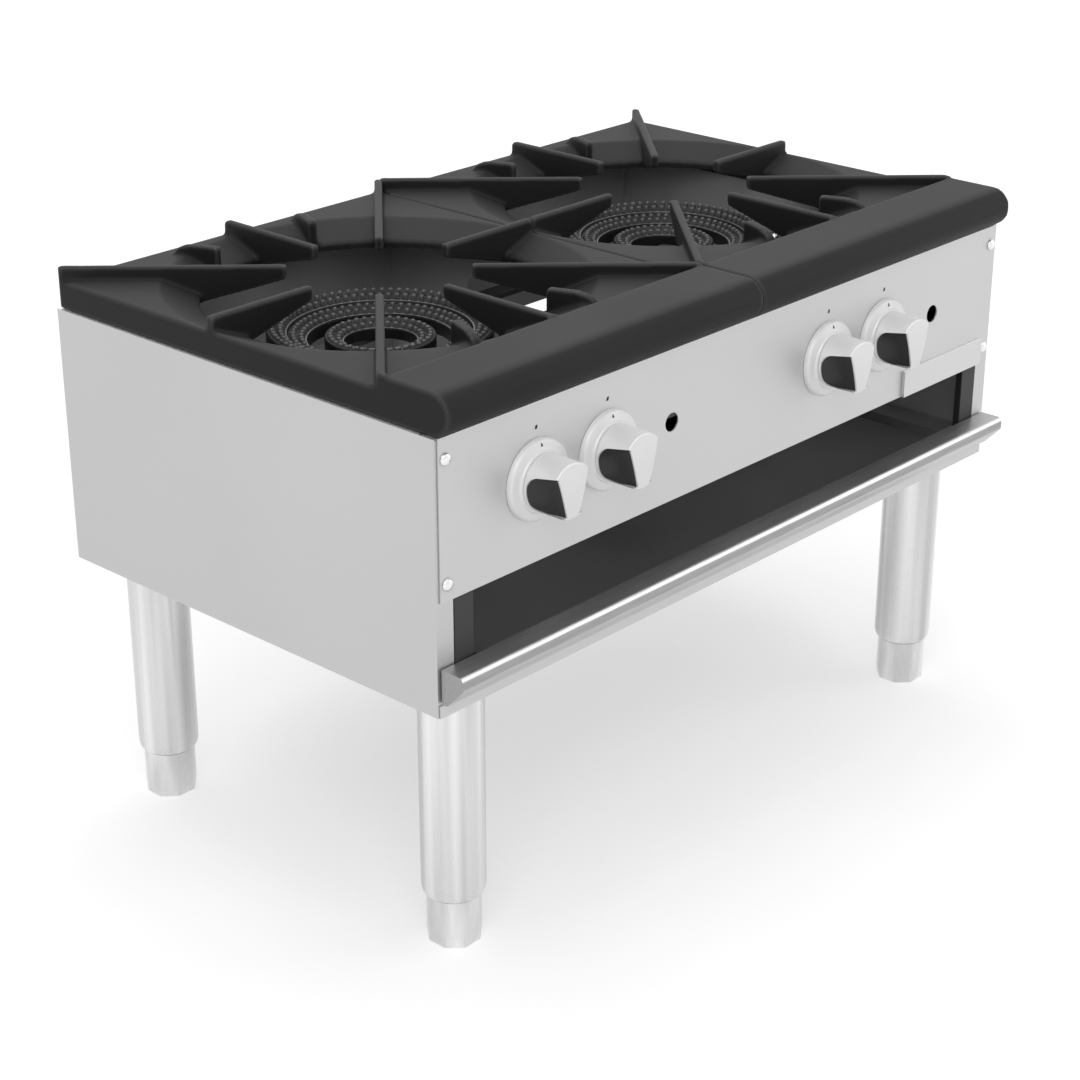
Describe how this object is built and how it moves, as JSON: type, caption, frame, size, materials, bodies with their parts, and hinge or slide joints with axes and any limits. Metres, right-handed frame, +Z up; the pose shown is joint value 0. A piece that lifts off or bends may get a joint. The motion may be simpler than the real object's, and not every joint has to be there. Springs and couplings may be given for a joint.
{
  "type": "stock pot range",
  "caption": "Low gas stock pot range: stainless cabinet on round legs, cast-iron top grates, ring burners, control knobs and a slide-out drip tray.",
  "frame": {"origin": "on the floor under the middle of the range's bounding box", "axes": "+X to the right along the front as seen by the cook, +Y towards the back, +Z up; the knobs face -Y"},
  "size_m": [0.914, 0.5942, 0.6153],
  "materials": {
    "stainless_sheet": "satin brushed stainless sheet",
    "leg_steel": "brushed stainless tube",
    "bare_steel": "plain steel sheet, dulled",
    "cast_iron": "matte grey-black cast",
    "knob_silver": "satin silver",
    "knob_black": "matte black",
    "screw_steel": "bright",
    "brass": "machined",
    "black_pipe": "black pipe finish"
  },
  "bodies": {
    "cabinet": {"side_panel_left": "stainless_sheet", "side_panel_right": "stainless_sheet", "back_panel": "stainless_sheet", "control_panel": "stainless_sheet", "nameplate": "stainless_sheet", "front_rail": "stainless_sheet", "leg_front_left": "leg_steel", "leg_back_left": "leg_steel", "leg_front_right": "leg_steel", "leg_back_right": "leg_steel", "leg_channel_left": "bare_steel", "leg_channel_right": "bare_steel", "front_post_left": "bare_steel", "front_post_right": "bare_steel", "heat_shield_left": "bare_steel", "heat_shield_right": "bare_steel", "heat_shield_front": "bare_steel", "heat_shield_back": "bare_steel", "bay_divider": "bare_steel", "burner_bar_front": "bare_steel", "burner_bar_back": "bare_steel", "outer_burner_left": "cast_iron", "outer_burner_right": "cast_iron", "inner_burner_left": "cast_iron", "inner_burner_right": "cast_iron", "knob_bezel_1": "knob_silver", "knob_bezel_2": "knob_silver", "knob_bezel_3": "knob_silver", "knob_bezel_4": "knob_silver", "panel_screw_left_lower": "screw_steel", "panel_screw_left_upper": "screw_steel", "panel_screw_right_lower": "screw_steel", "panel_screw_right_upper": "screw_steel", "gas_valve_1": "brass", "gas_valve_2": "brass", "gas_valve_3": "brass", "gas_valve_4": "brass", "pilot_left": "brass", "pilot_right": "brass", "gas_manifold": "black_pipe"},
    "knob_1": {"knob_core_1": "knob_black", "knob_cap_1": "knob_silver"},
    "knob_2": {"knob_core_2": "knob_black", "knob_cap_2": "knob_silver"},
    "knob_3": {"knob_core_3": "knob_black", "knob_cap_3": "knob_silver"},
    "knob_4": {"knob_core_4": "knob_black", "knob_cap_4": "knob_silver"},
    "tray": {"drip_tray": "bare_steel", "tray_handle": "stainless_sheet"},
    "grate_left": {"top_grate_left": "cast_iron"},
    "grate_right": {"top_grate_right": "cast_iron"},
    "foot_front_left_body": {"foot_front_left": "leg_steel"},
    "foot_back_left_body": {"foot_back_left": "leg_steel"},
    "foot_front_right_body": {"foot_front_right": "leg_steel"},
    "foot_back_right_body": {"foot_back_right": "leg_steel"},
    "shutter_1": {"air_shutter_1": "bare_steel"},
    "shutter_2": {"air_shutter_2": "bare_steel"},
    "shutter_3": {"air_shutter_3": "bare_steel"},
    "shutter_4": {"air_shutter_4": "bare_steel"}
  },
  "joints": [
    {"name": "knob_turn_1", "type": "hinge", "parent": "cabinet", "child": "knob_1", "pos_m": [-0.324, -0.26885, 0.493], "axis": [0, -1, 0], "range_deg": [0, 90]},
    {"name": "knob_turn_2", "type": "hinge", "parent": "cabinet", "child": "knob_2", "pos_m": [-0.223, -0.26885, 0.493], "axis": [0, -1, 0], "range_deg": [0, 90]},
    {"name": "knob_turn_3", "type": "hinge", "parent": "cabinet", "child": "knob_3", "pos_m": [0.133, -0.26885, 0.493], "axis": [0, -1, 0], "range_deg": [0, 90]},
    {"name": "knob_turn_4", "type": "hinge", "parent": "cabinet", "child": "knob_4", "pos_m": [0.234, -0.26885, 0.493], "axis": [0, -1, 0], "range_deg": [0, 90]},
    {"name": "tray_slide", "type": "slide", "parent": "cabinet", "child": "tray", "axis": [0, -1, 0], "range_m": [0, 0.4]},
    {"name": "grate_lift_left", "type": "slide", "parent": "cabinet", "child": "grate_left", "axis": [0, 0, 1], "range_m": [0, 0.08]},
    {"name": "grate_lift_right", "type": "slide", "parent": "cabinet", "child": "grate_right", "axis": [0, 0, 1], "range_m": [0, 0.08]},
    {"name": "foot_level_front_left", "type": "slide", "parent": "cabinet", "child": "foot_front_left_body", "axis": [0, 0, 1], "range_m": [-0.025, 0]},
    {"name": "foot_level_back_left", "type": "slide", "parent": "cabinet", "child": "foot_back_left_body", "axis": [0, 0, 1], "range_m": [-0.025, 0]},
    {"name": "foot_level_front_right", "type": "slide", "parent": "cabinet", "child": "foot_front_right_body", "axis": [0, 0, 1], "range_m": [-0.025, 0]},
    {"name": "foot_level_back_right", "type": "slide", "parent": "cabinet", "child": "foot_back_right_body", "axis": [0, 0, 1], "range_m": [-0.025, 0]},
    {"name": "shutter_turn_1", "type": "hinge", "parent": "cabinet", "child": "shutter_1", "pos_m": [-0.324, -0.17785, 0.493], "axis": [0, -1, 0], "range_deg": [0, 60]},
    {"name": "shutter_turn_2", "type": "hinge", "parent": "cabinet", "child": "shutter_2", "pos_m": [-0.223, -0.17785, 0.493], "axis": [0, -1, 0], "range_deg": [0, 60]},
    {"name": "shutter_turn_3", "type": "hinge", "parent": "cabinet", "child": "shutter_3", "pos_m": [0.133, -0.17785, 0.493], "axis": [0, -1, 0], "range_deg": [0, 60]},
    {"name": "shutter_turn_4", "type": "hinge", "parent": "cabinet", "child": "shutter_4", "pos_m": [0.234, -0.17785, 0.493], "axis": [0, -1, 0], "range_deg": [0, 60]}
  ]
}
